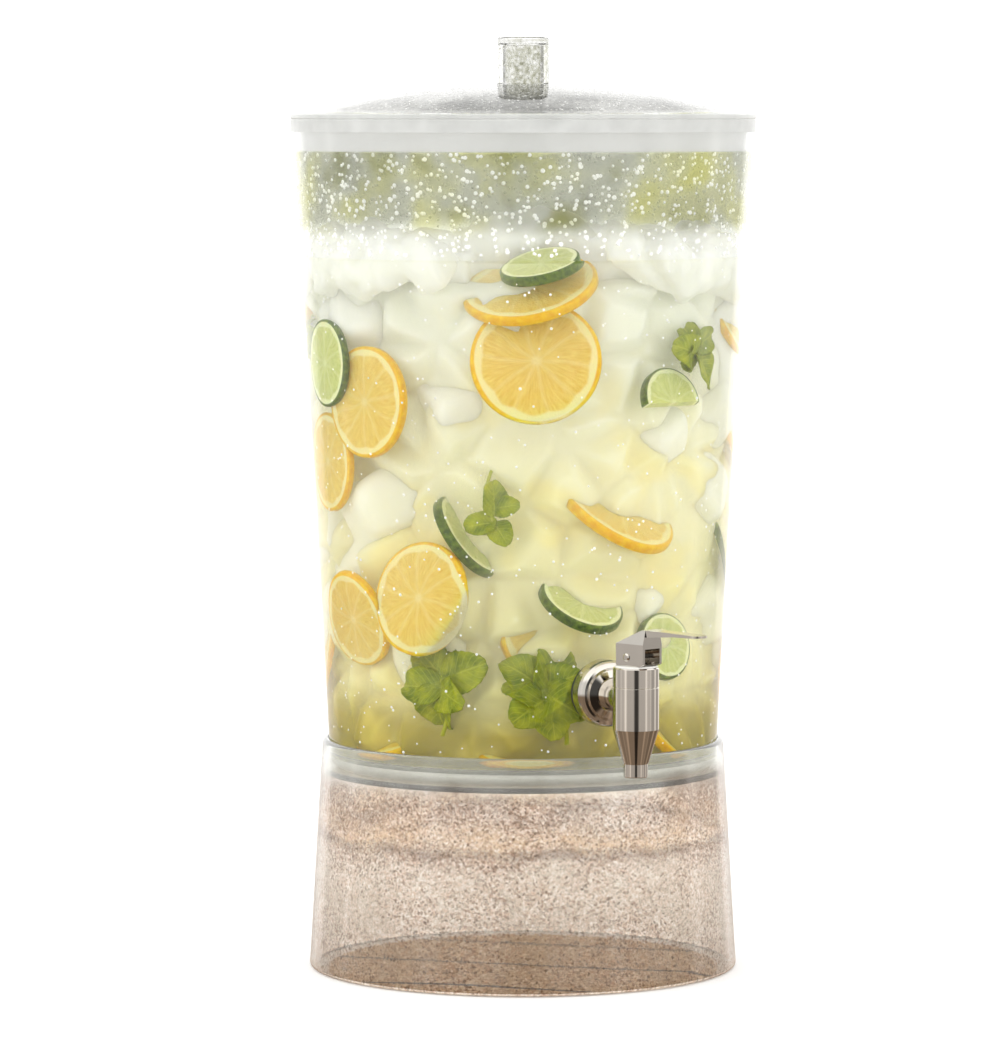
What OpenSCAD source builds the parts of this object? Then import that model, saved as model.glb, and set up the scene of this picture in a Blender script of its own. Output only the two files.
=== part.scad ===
// Countertop beverage dispenser: a clear round tank that stands in a clear flared stand,
// with a domed lift-off lid and a self-closing stainless lever tap.
// The origin is on the tank's axis at the plane the stand rests on, +Z is up,
// and the tap points along -Y. All sizes are in millimetres.

/* [Stand] */
// Height of the stand
stand_h = 122; // [110:1:135]
// Outer radius of the stand where it rests
stand_foot_r = 113.7; // [111:0.1:118]
// Outer radius of the stand at its top
stand_top_r = 106.6; // [106:0.1:108]
// Wall thickness of the stand
stand_wall = 2.7; // [2:0.1:2.8]
// How far the tank's foot sits below the top of the stand
socket_depth = 15; // [10:1:20]
// Thickness of the deck that carries the tank
deck_t = 3; // [2:0.5:5]

/* [Tank] */
// Height of the tank from its foot to its rim
tank_h = 343; // [330:1:360]
// Outer radius of the tank at its foot
tank_foot_r = 102.6; // [102:0.1:103]
// Outer radius of the tank at its rim
tank_rim_r = 123.2; // [120:0.1:126]
// How far the side bows inward from a straight line at half height
tank_bow = 1; // [0:0.1:3]
// Wall thickness of the tank
tank_wall = 3; // [2.5:0.1:3.5]
// Thickness of the tank's floor
tank_floor = 4.5; // [3:0.5:6]
// Height of the foot ring under the floor
foot_ring_h = 3.5; // [2:0.5:3.5]

/* [Lid] */
// Thickness of the lid's edge flange
lid_edge_t = 2.4; // [2:0.1:4]
// Rise of the dome above the flange
lid_crown = 16.3; // [12:0.1:22]
// Thickness of the dome
lid_t = 3; // [2:0.5:4]
// Outer radius of the ring that plugs into the tank
plug_ring_r = 118.4; // [115:0.1:118.5]
// Depth of the plug ring below the lid's edge
plug_ring_h = 17; // [10:1:25]
// Thickness of the plug ring
plug_ring_t = 2.4; // [2:0.1:4]

/* [Knob] */
// Outer radius of the knob
knob_r = 13.8; // [13:0.1:18]
// Height of the knob above the crown of the lid
knob_h = 24.3; // [20:0.1:35]
// Radius of the hollow inside the knob
knob_hollow_r = 9.3; // [7:0.1:9.5]
// Radius of the knob's tail where it passes through the lid
knob_tail_r = 12; // [11:0.1:12.5]
// Length of the tail below the crown of the lid
knob_tail_h = 28; // [10:1:30]

/* [Tap] */
// Height of the shank's axis above the resting plane
shank_z = 156; // [150:0.5:170]
// Distance from the tank's axis to the barrel's axis
tap_reach = 149; // [146:0.5:155]
// Radius of the threaded shank
shank_r = 7.75; // [7:0.05:8]
// Radius of the passage through the shank
shank_bore_r = 4.8; // [4:0.1:5.5]
// Radius of the smooth shank between flange and barrel
collar_r = 8.6; // [8.5:0.1:10]
// Radius of the domed flange
flange_r = 17.4; // [16:0.1:20]
// Radius of the barrel
barrel_r = 11.8; // [11.5:0.1:12.5]
// Radius of the nozzle's tip
tip_r = 6.2; // [6:0.05:6.5]
// Height of the bonnet that screws over the barrel's neck
bonnet_h = 10; // [9.5:0.1:12]

/* [Lever] */
// Angle of the lever to the right of the tap, seen from the tank
lever_turn = 22; // [-90:1:90]
// Reach of the lever's arm from the barrel's axis
lever_reach = 47.5; // [40:0.5:52]
// Width of the lever's head
lever_w = 13.7; // [13:0.1:15]
// Width of the slot between the lever's cheeks
slot_w = 10.7; // [10:0.1:11]
// Angle that the lever turns when it is pressed
press_angle = 30; // [20:1:30]
// Rise of the valve over the whole press
valve_lift = 4; // [3:0.1:4]

/* [Hidden] */
$fn = 96;
edge_r = 1;
foot_z = stand_h - socket_depth;
rim_z = foot_z + tank_h;
floor_z = foot_z + foot_ring_h + tank_floor;
foot_ring_in_r = tank_foot_r - 14;
crown_sphere_r = (tank_rim_r * tank_rim_r + lid_crown * lid_crown) / (2 * lid_crown);
knob_top_z = crown_z(0) + knob_h;

tap_gap = 0.05;
cone_top_z = shank_z - 14.7;
cone_bottom_z = shank_z - 32.4;
tip_z = shank_z - 39.2;
neck_z = shank_z + 6.9;
neck_top_z = neck_z + 6;
neck_r = 9.6;
chamber_r = 8;
tip_bore_r = 4.2;
seat_top_z = cone_top_z - 3.3;
seat_bottom_z = cone_bottom_z + 3.4;
bonnet_top_z = neck_z + bonnet_h;
bonnet_roof_z = neck_top_z + 1.2;
hub_r = chamber_r - 0.3;
hub_z = neck_z + 0.6;
side_hole_r = 6.4;
gasket_face = 107.7;
flange_face = 120.5;
inner_gasket_face = 98.7;
washer_face = 97.5;
nut_face = 91;
shank_end = 84;

stem_r = 3;
stem_end_r = 2;
pin_r = 1.5;
eye_r = 4.3;
eye_w = slot_w - 0.4;
thrust_r = 10.6;
thrust_t = 0.8;
thrust_z = bonnet_top_z + tap_gap;
pin_height = 4.5;
pin_z = thrust_z + thrust_t + pin_height;
plug_top_z = seat_top_z;
plug_r = 6.5;
seat_slope = (chamber_r - tip_bore_r) / (seat_top_z - seat_bottom_z);
spring_seat_t = 0.8;
spring_r = 5.2;
wire_r = 0.5;
spring_bottom_z = plug_top_z + spring_seat_t + tap_gap;
spring_top_z = hub_z - tap_gap;
spring_turns = 8;
cam_rate = valve_lift / (press_angle * PI / 180);

// Points along an arc, angles in degrees.
function arc(x, y, r, a0, a1, n = 6) =
    [for (i = [0:n]) let (a = a0 + (a1 - a0) * i / n) [x + r * cos(a), y + r * sin(a)]];

// Outer radius of the tank's side at height z: a straight taper with a gentle inward bow.
function side_r(z) =
    let (f = (z - foot_z) / tank_h)
    tank_foot_r + (tank_rim_r - tank_foot_r) * f - 4 * tank_bow * f * (1 - f);

// Outer radius of the stand's side at height z.
function stand_r(z) = stand_foot_r + (stand_top_r - stand_foot_r) * z / stand_h;

// Height of the lid's outer surface at radius r: part of a large sphere.
function crown_z(r) =
    rim_z + lid_edge_t + sqrt(pow(crown_sphere_r, 2) - r * r) - crown_sphere_r + lid_crown;

// The tank's side from height z0 to z1, moved inward by a wall thickness.
function side_points(z0, z1, inset, n = 14) =
    [for (i = [0:n]) let (z = z0 + (z1 - z0) * i / n) [side_r(z) - inset, z]];

// Radius of the conical valve seat at height z.
function seat_r(z) = tip_bore_r + (z - seat_bottom_z) * seat_slope;

// Placement helpers for the tap.
module along_shank() {
    translate([0, 0, shank_z]) rotate([90, 0, 0]) children();
}

module at_barrel() {
    translate([0, -tap_reach, 0]) children();
}

// The lever's own frame: X along the arm, Y along the pin, origin on the pin's axis.
module at_pin() {
    translate([0, -tap_reach, pin_z]) rotate([0, 0, lever_turn - 90]) children();
}

// A shape drawn in the lever's side view, as thick as w across the pin's direction.
module side_plate(w) {
    rotate([90, 0, 0]) linear_extrude(w, center = true) children();
}

module ring(r_out, r_in, z0, z1) {
    translate([0, 0, z0]) linear_extrude(z1 - z0) difference() {
        circle(r_out);
        circle(r_in);
    }
}

module torus(r, section_r, z) {
    translate([0, 0, z]) rotate_extrude() translate([r, 0]) circle(section_r, $fn = 32);
}

// Everything within the tank's outer or inner surface, finely divided so that the gaskets fit it.
module tank_core(inset) {
    rotate_extrude($fn = 720) polygon(concat(
        [[0, floor_z]],
        side_points(floor_z, rim_z, inset),
        [[0, rim_z]]));
}

// The flared tube, open at both ends; the tank's foot sits in its top.
module stand_shell() {
    round = 2;
    color([0.87, 0.84, 0.80, 0.5]) rotate_extrude() polygon(concat(
        [[stand_foot_r - stand_wall, 0]],
        arc(stand_foot_r - round, round, round, -90, 0),
        arc(stand_top_r - round, stand_h - round, round, 0, 90),
        [[stand_top_r - stand_wall, stand_h]]));
}

// The disc bonded across the tube, which carries the tank.
module stand_deck() {
    under_z = foot_z - deck_t;
    color([0.89, 0.88, 0.85, 0.5]) rotate_extrude() polygon([[0, under_z],
        [stand_r(under_z) - stand_wall, under_z], [stand_r(foot_z) - stand_wall, foot_z],
        [0, foot_z]]);
}

module tank_shell() {
    foot_round = 7;
    floor_round = 4;
    round_z = foot_z + foot_round;
    fillet_z = floor_z + floor_round;
    color([0.90, 0.93, 0.92, 0.4]) difference() {
        rotate_extrude() polygon(concat(
            [[foot_ring_in_r, floor_z - tank_floor], [foot_ring_in_r, foot_z]],
            arc(side_r(round_z) - foot_round, round_z, foot_round, -90, -5),
            side_points(round_z, rim_z - edge_r, 0),
            arc(tank_rim_r - edge_r, rim_z - edge_r, edge_r, 15, 90, 4),
            arc(tank_rim_r - tank_wall + edge_r, rim_z - edge_r, edge_r, 90, 165, 4),
            side_points(rim_z - edge_r, fillet_z, tank_wall),
            arc(side_r(fillet_z) - tank_wall - floor_round, fillet_z, floor_round, -5, -90),
            [[0, floor_z], [0, floor_z - tank_floor]]));
        along_shank() cylinder(r = shank_r + 0.35, h = tap_reach);
    }
}

module lid_dome() {
    steps = 12;
    edge_z = rim_z + lid_edge_t;
    ledge_r = plug_ring_r - plug_ring_t;
    color([0.90, 0.93, 0.92, 0.4]) rotate_extrude() polygon(concat(
        [[ledge_r, rim_z]],
        arc(tank_rim_r - 0.6, rim_z + 0.6, 0.6, -90, 0, 3),
        arc(tank_rim_r - 0.8, edge_z - 0.8, 0.8, 0, 75, 4),
        [for (i = [0:steps - 1]) let (r = tank_rim_r - 3 - (tank_rim_r - 3 - knob_r) * i / steps)
            [r, crown_z(r)]],
        [[knob_r, crown_z(knob_r)], [knob_tail_r, crown_z(knob_tail_r)]],
        [for (i = [0:steps]) let (r = knob_tail_r + (ledge_r - knob_tail_r) * i / steps)
            [r, crown_z(r) - lid_t]]));
}

// The smooth ring bonded under the lid's edge, which centres the lid in the tank's mouth.
module lid_plug_ring() {
    inner_r = plug_ring_r - plug_ring_t;
    bottom_z = rim_z - plug_ring_h;
    color([0.93, 0.95, 0.95, 0.5]) rotate_extrude() polygon([
        [inner_r, rim_z], [inner_r, bottom_z + 0.5], [inner_r + 0.5, bottom_z],
        [plug_ring_r - 0.5, bottom_z], [plug_ring_r, bottom_z + 0.5], [plug_ring_r, rim_z]]);
}

module lid_knob() {
    round = 1.6;
    tail_z = crown_z(0) - knob_tail_h;
    roof_z = knob_top_z - 3.5;
    color([0.92, 0.94, 0.93, 0.4]) rotate_extrude() polygon(concat(
        [[knob_hollow_r, tail_z], [knob_tail_r, tail_z]],
        [[knob_tail_r, crown_z(knob_tail_r)], [knob_r, crown_z(knob_r)]],
        arc(knob_r - round, knob_top_z - round, round, 0, 90),
        [[0, knob_top_z], [0, roof_z]],
        arc(knob_hollow_r - round, roof_z - round, round, 90, 0)));
}

module tap_flange() {
    rim_face = gasket_face + 5.3;
    dome_r = 4.9;
    dome_face = flange_face - 1.6;
    color([0.80, 0.79, 0.77]) along_shank() rotate_extrude() polygon(concat(
        [[shank_r + 0.1, gasket_face], [flange_r - 0.5, gasket_face], [flange_r, gasket_face + 0.5]],
        [for (a = [0:15:90]) [flange_r - dome_r * (1 - cos(a)),
            rim_face + (dome_face - rim_face) * sin(a)]],
        [[collar_r + 0.4, flange_face], [shank_r + 0.1, flange_face]]));
}

module outer_gasket() {
    color([0.20, 0.20, 0.19]) difference() {
        along_shank() ring(flange_r - 0.9, shank_r, gasket_face - 8, gasket_face);
        tank_core(0);
    }
}

module inner_gasket() {
    color([0.20, 0.20, 0.19]) intersection() {
        along_shank() ring(13.6, shank_r, inner_gasket_face, inner_gasket_face + 8);
        tank_core(tank_wall);
    }
}

module inner_washer() {
    color([0.78, 0.78, 0.77]) along_shank() ring(13.2, shank_r, washer_face, inner_gasket_face);
}

module lock_nut() {
    across_corners_r = 12.7;
    color([0.80, 0.79, 0.77]) along_shank() difference() {
        intersection() {
            translate([0, 0, nut_face])
                cylinder(r = across_corners_r, h = washer_face - nut_face, $fn = 6);
            rotate_extrude() polygon([[0, nut_face], [across_corners_r - 1.6, nut_face],
                [across_corners_r + 0.2, nut_face + 1.1], [across_corners_r + 0.2, washer_face],
                [0, washer_face]]);
        }
        cylinder(r = shank_r, h = tap_reach);
    }
}

module tap_shank() {
    spigot_end = tap_reach - chamber_r - 0.2;
    color([0.80, 0.79, 0.77]) difference() {
        union() {
            along_shank() rotate_extrude() polygon([[0, shank_end], [shank_r - 0.8, shank_end],
                [shank_r, shank_end + 0.8], [shank_r, flange_face], [0, flange_face]]);
            difference() {
                along_shank() translate([0, 0, flange_face])
                    cylinder(r = collar_r, h = tap_reach - flange_face);
                at_barrel() cylinder(r = barrel_r, h = bonnet_top_z);
            }
            along_shank() translate([0, 0, flange_face])
                cylinder(r = side_hole_r, h = spigot_end - flange_face);
        }
        along_shank() cylinder(r = shank_bore_r, h = tap_reach);
    }
}

// The barrel with its conical seat and nozzle, turned in one piece.
module tap_body() {
    color([0.80, 0.79, 0.77]) difference() {
        at_barrel() rotate_extrude() polygon([
            [tip_bore_r, tip_z], [tip_r - 0.4, tip_z], [tip_r, tip_z + 0.4], [tip_r, cone_bottom_z],
            [tip_r + 0.3, cone_bottom_z + 0.3], [barrel_r, cone_top_z], [barrel_r, neck_z - 0.3],
            [barrel_r - 0.3, neck_z], [neck_r, neck_z], [neck_r, neck_top_z],
            [chamber_r, neck_top_z], [chamber_r, seat_top_z], [tip_bore_r, seat_bottom_z]]);
        translate([0, 0.01, 0]) along_shank() cylinder(r = side_hole_r, h = tap_reach);
    }
}

module tap_bonnet() {
    bore = stem_r + tap_gap;
    groove_z = hub_z + 2.1;
    color([0.82, 0.81, 0.79]) at_barrel() rotate_extrude() polygon([
        [bore, hub_z], [hub_r, hub_z], [hub_r, bonnet_roof_z], [neck_r, bonnet_roof_z],
        [neck_r, neck_z], [barrel_r - 0.3, neck_z], [barrel_r, neck_z + 0.3],
        [barrel_r, bonnet_top_z - 0.5], [barrel_r - 0.5, bonnet_top_z], [bore, bonnet_top_z],
        [bore, groove_z + 1.9], [bore + 1.7, groove_z + 1.9], [bore + 1.7, groove_z],
        [bore, groove_z]]);
}

module bonnet_oring() {
    color([0.12, 0.12, 0.12]) at_barrel() torus(neck_r - 0.8, 0.6, neck_top_z + 0.6);
}

module stem_seal() {
    color([0.12, 0.12, 0.12]) at_barrel() torus(stem_r + tap_gap + 0.85, 0.85, hub_z + 3.05);
}

module thrust_washer() {
    color([0.25, 0.25, 0.25]) at_barrel()
        ring(thrust_r, stem_r + 2 * tap_gap, thrust_z, thrust_z + thrust_t);
}

// The stem's lower end, with the barb that holds the plug.
module stem_barb() {
    barb_z = seat_bottom_z + 2.6;
    at_barrel() rotate_extrude() polygon([[0, barb_z], [stem_end_r, barb_z],
        [stem_end_r + 0.9, barb_z + 1.6], [stem_end_r, barb_z + 1.6],
        [stem_end_r, plug_top_z + spring_seat_t], [0, plug_top_z + spring_seat_t]]);
}

module valve_stem() {
    stem_z = plug_top_z + spring_seat_t;
    color([0.80, 0.80, 0.79]) difference() {
        union() {
            stem_barb();
            at_barrel() translate([0, 0, stem_z]) cylinder(r = stem_r, h = pin_z - stem_z);
            at_pin() rotate([90, 0, 0]) cylinder(r = eye_r, h = eye_w, center = true);
        }
        at_pin() rotate([90, 0, 0]) cylinder(r = pin_r, h = 2 * eye_w, center = true);
    }
}

module valve_plug() {
    seal_gap = 0.12;
    nose_z = seat_bottom_z + 1;
    shoulder_z = seat_bottom_z + (plug_r + seal_gap - tip_bore_r) / seat_slope;
    color([0.15, 0.15, 0.15]) difference() {
        at_barrel() rotate_extrude() polygon([[0, nose_z], [seat_r(nose_z) - seal_gap, nose_z],
            [plug_r, shoulder_z], [plug_r, plug_top_z], [0, plug_top_z]]);
        stem_barb();
    }
}

module spring_seat() {
    color([0.78, 0.78, 0.77]) at_barrel()
        ring(plug_r - 0.2, stem_end_r, plug_top_z, plug_top_z + spring_seat_t);
}

// A closed-end compression spring: one closed turn at each end, even pitch between.
function coil_rise(n) =
    let (closed = 2 * wire_r + 0.05, span = spring_top_z - spring_bottom_z - 2 * wire_r)
    n < 1 ? n * closed
    : n > spring_turns - 1 ? span - (spring_turns - n) * closed
    : closed + (n - 1) * (span - 2 * closed) / (spring_turns - 2);

module valve_spring() {
    sides = 8;
    per_turn = 20;
    rings = spring_turns * per_turn;
    points = [for (i = [0:rings]) let (n = i / per_turn, z = spring_bottom_z + wire_r + coil_rise(n))
        for (j = [0:sides - 1]) let (b = 360 * j / sides, r = spring_r + wire_r * cos(b))
            [r * cos(360 * n), r * sin(360 * n), z + wire_r * sin(b)]];
    walls = [for (i = [0:rings - 1]) for (j = [0:sides - 1]) let (k = (j + 1) % sides)
        [i * sides + j, i * sides + k, (i + 1) * sides + k, (i + 1) * sides + j]];
    caps = [[for (j = [sides - 1:-1:0]) j], [for (j = [0:sides - 1]) rings * sides + j]];
    color([0.72, 0.72, 0.72]) at_barrel() polyhedron(points, concat(walls, caps), convexity = 10);
}

module pivot_pin() {
    head_r = 2.1;
    head_t = 0.7;
    cheek = lever_w / 2 + tap_gap;
    color([0.86, 0.86, 0.85]) at_pin() rotate([90, 0, 0]) rotate_extrude() polygon([
        [0, -cheek - head_t], [head_r - 0.8, -cheek - head_t], [head_r, -cheek - 0.25],
        [head_r, -cheek], [pin_r, -cheek], [pin_r, cheek], [head_r, cheek],
        [head_r, cheek + 0.25], [head_r - 0.8, cheek + head_t], [0, cheek + head_t]]);
}

// The cheek's lower edge: a flat that rests on the thrust washer, then an involute, so that
// the pin rises in proportion to the angle that the lever is pressed.
function cam_edge(base_h) =
    [for (a = [0:press_angle / 12:press_angle])
        let (h = base_h + cam_rate * a * PI / 180)
        [h * sin(a) + cam_rate * cos(a), cam_rate * sin(a) - h * cos(a)]];

module lever() {
    rear = -7.5;
    front = 11.5;
    rear_top = 6.9;
    top = 14.3;
    arm_w = 9.8;
    base_h = pin_height - tap_gap;
    cam = cam_edge(base_h);
    cam_end = cam[len(cam) - 1];
    color([0.84, 0.83, 0.81]) at_pin() difference() {
        union() {
            intersection() {
                side_plate(lever_w) polygon(concat(
                    [[rear, -base_h + 0.6], [rear + 0.6, -base_h]],
                    cam,
                    [[front, cam_end[1] + (front - cam_end[0]) * tan(press_angle)]],
                    [[front, top], [front - 2.5, top], [rear, rear_top]]));
                rotate([90, 0, 90]) linear_extrude(4 * front, center = true) polygon([
                    [-lever_w / 2, -2 * base_h], [lever_w / 2, -2 * base_h],
                    [lever_w / 2, rear_top], [arm_w / 2, top + 0.01], [-arm_w / 2, top + 0.01],
                    [-lever_w / 2, rear_top]]);
            }
            intersection() {
                side_plate(lever_w) polygon([[front - 4, top - 3.5], [front, top - 3.5],
                    [lever_reach * 0.65, top - 2.1], [lever_reach, top - 1.8],
                    [lever_reach, top - 0.7], [lever_reach * 0.6, top - 0.2], [front - 2.5, top]]);
                linear_extrude(2 * top) union() {
                    translate([front - 5, -arm_w / 2]) square([lever_reach - front + 5 - arm_w / 2, arm_w]);
                    translate([lever_reach - arm_w / 2, 0]) circle(arm_w / 2);
                }
            }
        }
        translate([0, 0, -base_h]) cube([4 * front, slot_w, 2 * (base_h + 4.65)], center = true);
        rotate([90, 0, 0]) cylinder(r = pin_r + tap_gap, h = 2 * lever_w, center = true);
    }
}

stand_shell();
stand_deck();
tank_shell();
lid_dome();
lid_plug_ring();
lid_knob();
tap_flange();
outer_gasket();
inner_gasket();
inner_washer();
lock_nut();
tap_shank();
tap_body();
tap_bonnet();
bonnet_oring();
stem_seal();
thrust_washer();
valve_stem();
valve_plug();
spring_seat();
valve_spring();
pivot_pin();
lever();
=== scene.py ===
import random
from math import cos, hypot, pi, radians, sin, sqrt, tan, tau

import bmesh
import bpy
import mathutils.noise
import numpy as np
from mathutils import Euler, Matrix, Vector


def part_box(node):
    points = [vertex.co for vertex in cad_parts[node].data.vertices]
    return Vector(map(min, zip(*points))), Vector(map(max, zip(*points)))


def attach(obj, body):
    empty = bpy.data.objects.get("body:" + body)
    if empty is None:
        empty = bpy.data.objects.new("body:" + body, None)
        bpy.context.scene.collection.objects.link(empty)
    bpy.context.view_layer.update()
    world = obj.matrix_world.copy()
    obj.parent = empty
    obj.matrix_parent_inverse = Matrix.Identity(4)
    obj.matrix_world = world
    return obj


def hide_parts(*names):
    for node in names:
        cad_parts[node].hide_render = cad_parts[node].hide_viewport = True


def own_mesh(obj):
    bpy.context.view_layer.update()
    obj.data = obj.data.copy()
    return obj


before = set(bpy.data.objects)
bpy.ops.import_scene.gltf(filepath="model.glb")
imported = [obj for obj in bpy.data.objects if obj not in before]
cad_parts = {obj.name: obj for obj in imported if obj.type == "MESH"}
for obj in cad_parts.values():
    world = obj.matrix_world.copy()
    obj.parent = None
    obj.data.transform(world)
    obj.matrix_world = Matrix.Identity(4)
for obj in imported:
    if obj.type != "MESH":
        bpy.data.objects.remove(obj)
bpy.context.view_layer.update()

# ---------------- sizes, in metres
MM = 0.001
TANK_LOW, TANK_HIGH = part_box("tank_shell")
_, STAND_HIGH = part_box("stand_shell")
DECK_LOW, DECK_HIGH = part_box("stand_deck")
KNOB_LOW, KNOB_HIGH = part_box("lid_knob")
PLUG_LOW, PLUG_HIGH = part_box("lid_plug_ring")
NUT_LOW, NUT_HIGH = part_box("lock_nut")
_, SHANK_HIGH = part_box("tap_shank")
FLANGE_LOW, FLANGE_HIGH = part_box("tap_flange")
SPRING_LOW, SPRING_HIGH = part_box("valve_spring")

FOOT_Z, RIM_Z = TANK_LOW.z, TANK_HIGH.z
TANK_H = RIM_Z - FOOT_Z
RIM_R = TANK_HIGH.x
FOOT_R = 102.6 * MM
TANK_BOW = 1.0 * MM
TANK_WALL = 3.0 * MM
RIM_BAND = 7 * MM
FLOOR_Z = FOOT_Z + 8.0 * MM
FLOOR_T = 4.5 * MM
FLOOR_ROUND = 4 * MM
SHANK_Z = (FLANGE_LOW.z + FLANGE_HIGH.z) / 2
SHANK_HOLE_R = 8.1 * MM
STAND_WALL = 2.7 * MM
LID_T = 3.0 * MM
LID_EDGE_Z = RIM_Z + 2.4 * MM
LEDGE_R = PLUG_HIGH.x - 2.4 * MM
CROWN_RISE = 16.3 * MM
CROWN_SPHERE_R = (RIM_R**2 + CROWN_RISE**2) / (2 * CROWN_RISE)
KNOB_R = KNOB_HIGH.x
KNOB_HOLLOW_R = 9.3 * MM
KNOB_TAIL_R = 12.0 * MM
SPRING_WIRE_R = 0.5 * MM
DRINK_GAP = 0.15 * MM
DRINK_Z = 378 * MM
BIG_BUBBLE_R = 0.95 * MM

CAMERA_AZIMUTH = -22.6
EYE_Z = 452 * MM
CAMERA_FAR = 2.862
LONG_SIDE_ANGLE = 11.05
LOOK_AT_Z = 236 * MM
LOOK_LEFT = 10.6 * MM
WORLD_LIGHT = 1.7
STAGE_R = 60
BOARDS_AND_SHADE_R = 104.5 * MM
BOARDS_PER_METRE = 14.0
STAND_LINE_Z = 77 * MM
PLASTIC_IOR = 1.49
WATER_IOR = 1.333
# lower than the plastic's own, so that the studio's reflection doesn't hide the lid's speckle
LID_IOR = 1.15


def side_r(z):
    """Outer radius of the tank's side at height z."""
    f = (z - FOOT_Z) / TANK_H
    return FOOT_R + (RIM_R - FOOT_R) * f - 4 * TANK_BOW * f * (1 - f)


def stand_r(z):
    """Outer radius of the stand's side at height z."""
    top_r = 106.6 * MM
    return STAND_HIGH.x + (top_r - STAND_HIGH.x) * z / STAND_HIGH.z


def crown_z(r):
    """Height of the lid's outer surface at radius r."""
    return LID_EDGE_Z + sqrt(CROWN_SPHERE_R**2 - r * r) - CROWN_SPHERE_R + CROWN_RISE


# ---------------- camera, light and floor
def make_camera():
    azimuth = radians(CAMERA_AZIMUTH)
    camera = bpy.data.objects.new("camera", bpy.data.cameras.new("camera"))
    bpy.context.scene.collection.objects.link(camera)
    towards = Vector((sin(azimuth), -cos(azimuth), 0))
    right = Vector((cos(azimuth), sin(azimuth), 0))
    target = Vector((0, 0, LOOK_AT_Z)) - right * LOOK_LEFT
    camera.location = towards * CAMERA_FAR + Vector((0, 0, EYE_Z))
    camera.rotation_euler = (target - camera.location).to_track_quat("-Z", "Y").to_euler()
    camera.data.sensor_width = 36
    camera.data.lens = 18 / tan(radians(LONG_SIDE_ANGLE / 2))
    camera.data.clip_start = 0.05
    camera.data.clip_end = 60
    bpy.context.scene.camera = camera


def make_world():
    """A bright even studio. Low dark flags stand behind the camera and at both sides, and the
    ground beyond the pale floor is warm and dim, so the polished tap has something to mirror."""
    world = bpy.data.worlds.new("studio")
    bpy.context.scene.world = world
    world.use_nodes = True
    tree = world.node_tree
    tree.nodes.clear()
    g = Graph(tree)
    x, y, z = g.split(g.node("ShaderNodeTexCoord").outputs["Generated"])
    shade = g.take(1.0, g.fade(z, 0.3, 1.0, 0.0, 0.15))
    # bearing of the flag from the camera's side, its half width and how dark it is
    for bearing, half, dark in ((2, 10, 0.90), (0, 48, 0.50), (67, 10, 0.45), (-69, 9, 0.45),
                                (-95, 13, 0.50), (93, 12, 0.60), (-128, 12, 0.60), (130, 14, 0.60)):
        a = radians(CAMERA_AZIMUTH + bearing)
        along = g.add(g.times(x, sin(a)), g.times(y, -cos(a)))
        near = g.over(along, g.maths("MAXIMUM", g.hypot(x, y), 0.001))
        beside = g.fade(near, cos(radians(half + 5)), cos(radians(half - 5)))
        low = g.fade(z, 0.62, 0.40)
        share = g.times(g.times(beside, low), dark)
        shade = g.times(shade, g.take(1.0, share))
    ground = g.fade(z, -0.02, -0.20)
    background = g.node("ShaderNodeBackground")
    g.put(background.inputs["Color"], g.mix(ground, (1.0, 0.998, 0.99), (0.30, 0.22, 0.16)))
    # the backdrop itself is plain white
    seen = g.node("ShaderNodeLightPath").outputs["Is Camera Ray"]
    g.link(g.times(g.maths("MAXIMUM", shade, seen), WORLD_LIGHT), background.inputs["Strength"])
    out = g.node("ShaderNodeOutputWorld")
    g.link(background.outputs[0], out.inputs["Surface"])


def make_lamp(name, azimuth, height, far, size, watts):
    lamp = bpy.data.objects.new(name, bpy.data.lights.new(name, "AREA"))
    bpy.context.scene.collection.objects.link(lamp)
    lamp.data.shape = "RECTANGLE"
    lamp.data.size, lamp.data.size_y = size
    lamp.data.energy = watts
    a = radians(azimuth)
    lamp.location = (far * sin(a), -far * cos(a), height)
    aim = Vector((0, 0, 0.24)) - lamp.location
    lamp.rotation_euler = aim.to_track_quat("-Z", "Y").to_euler()
    lamp.visible_glossy = False
    lamp.visible_transmission = False


def make_floor():
    """A pale floor, with brown wooden planks seen through the clear stand and laid only under it,
    where their dark tone also paints the shade that falls inside the stand.
    """
    bpy.ops.mesh.primitive_circle_add(vertices=96, radius=STAGE_R, fill_type="NGON")
    floor = bpy.context.object
    floor.name = "floor"
    floor.location.z = -0.0004
    g = Graph.material("floor_paint")
    x, y, _ = g.xyz()
    pale = g.mottle(18, (0.955, 0.955, 0.955), (0.975, 0.975, 0.975))
    boards_and_shade = g.ramp(g.noise(260, 4), [(0.30, (0.34, 0.21, 0.11)), (0.50, (0.66, 0.47, 0.27)),
                                      (0.70, (0.95, 0.77, 0.52))])
    along = g.add(g.times(x, 0.62), g.times(y, 0.78))
    seam = g.away(g.maths("FRACT", g.times(g.add(along, 0.325), BOARDS_PER_METRE)), 0.5)
    boards_and_shade = g.mix(g.fade(seam, 0.030, 0.018), boards_and_shade, (0.03, 0.02, 0.015))
    # brown only under the stand: the planks' tone is also painted shade from the stand, deck and
    # tank above
    under = g.fade(g.hypot(x, y), BOARDS_AND_SHADE_R, BOARDS_AND_SHADE_R - 2 * MM)
    g.set("Base Color", g.mix(under, pale, boards_and_shade))
    g.set("Roughness", 0.75)
    g.set("Specular IOR Level", 0.2)
    floor.data.materials.append(g.mat)
    floor.visible_glossy = False


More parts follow.
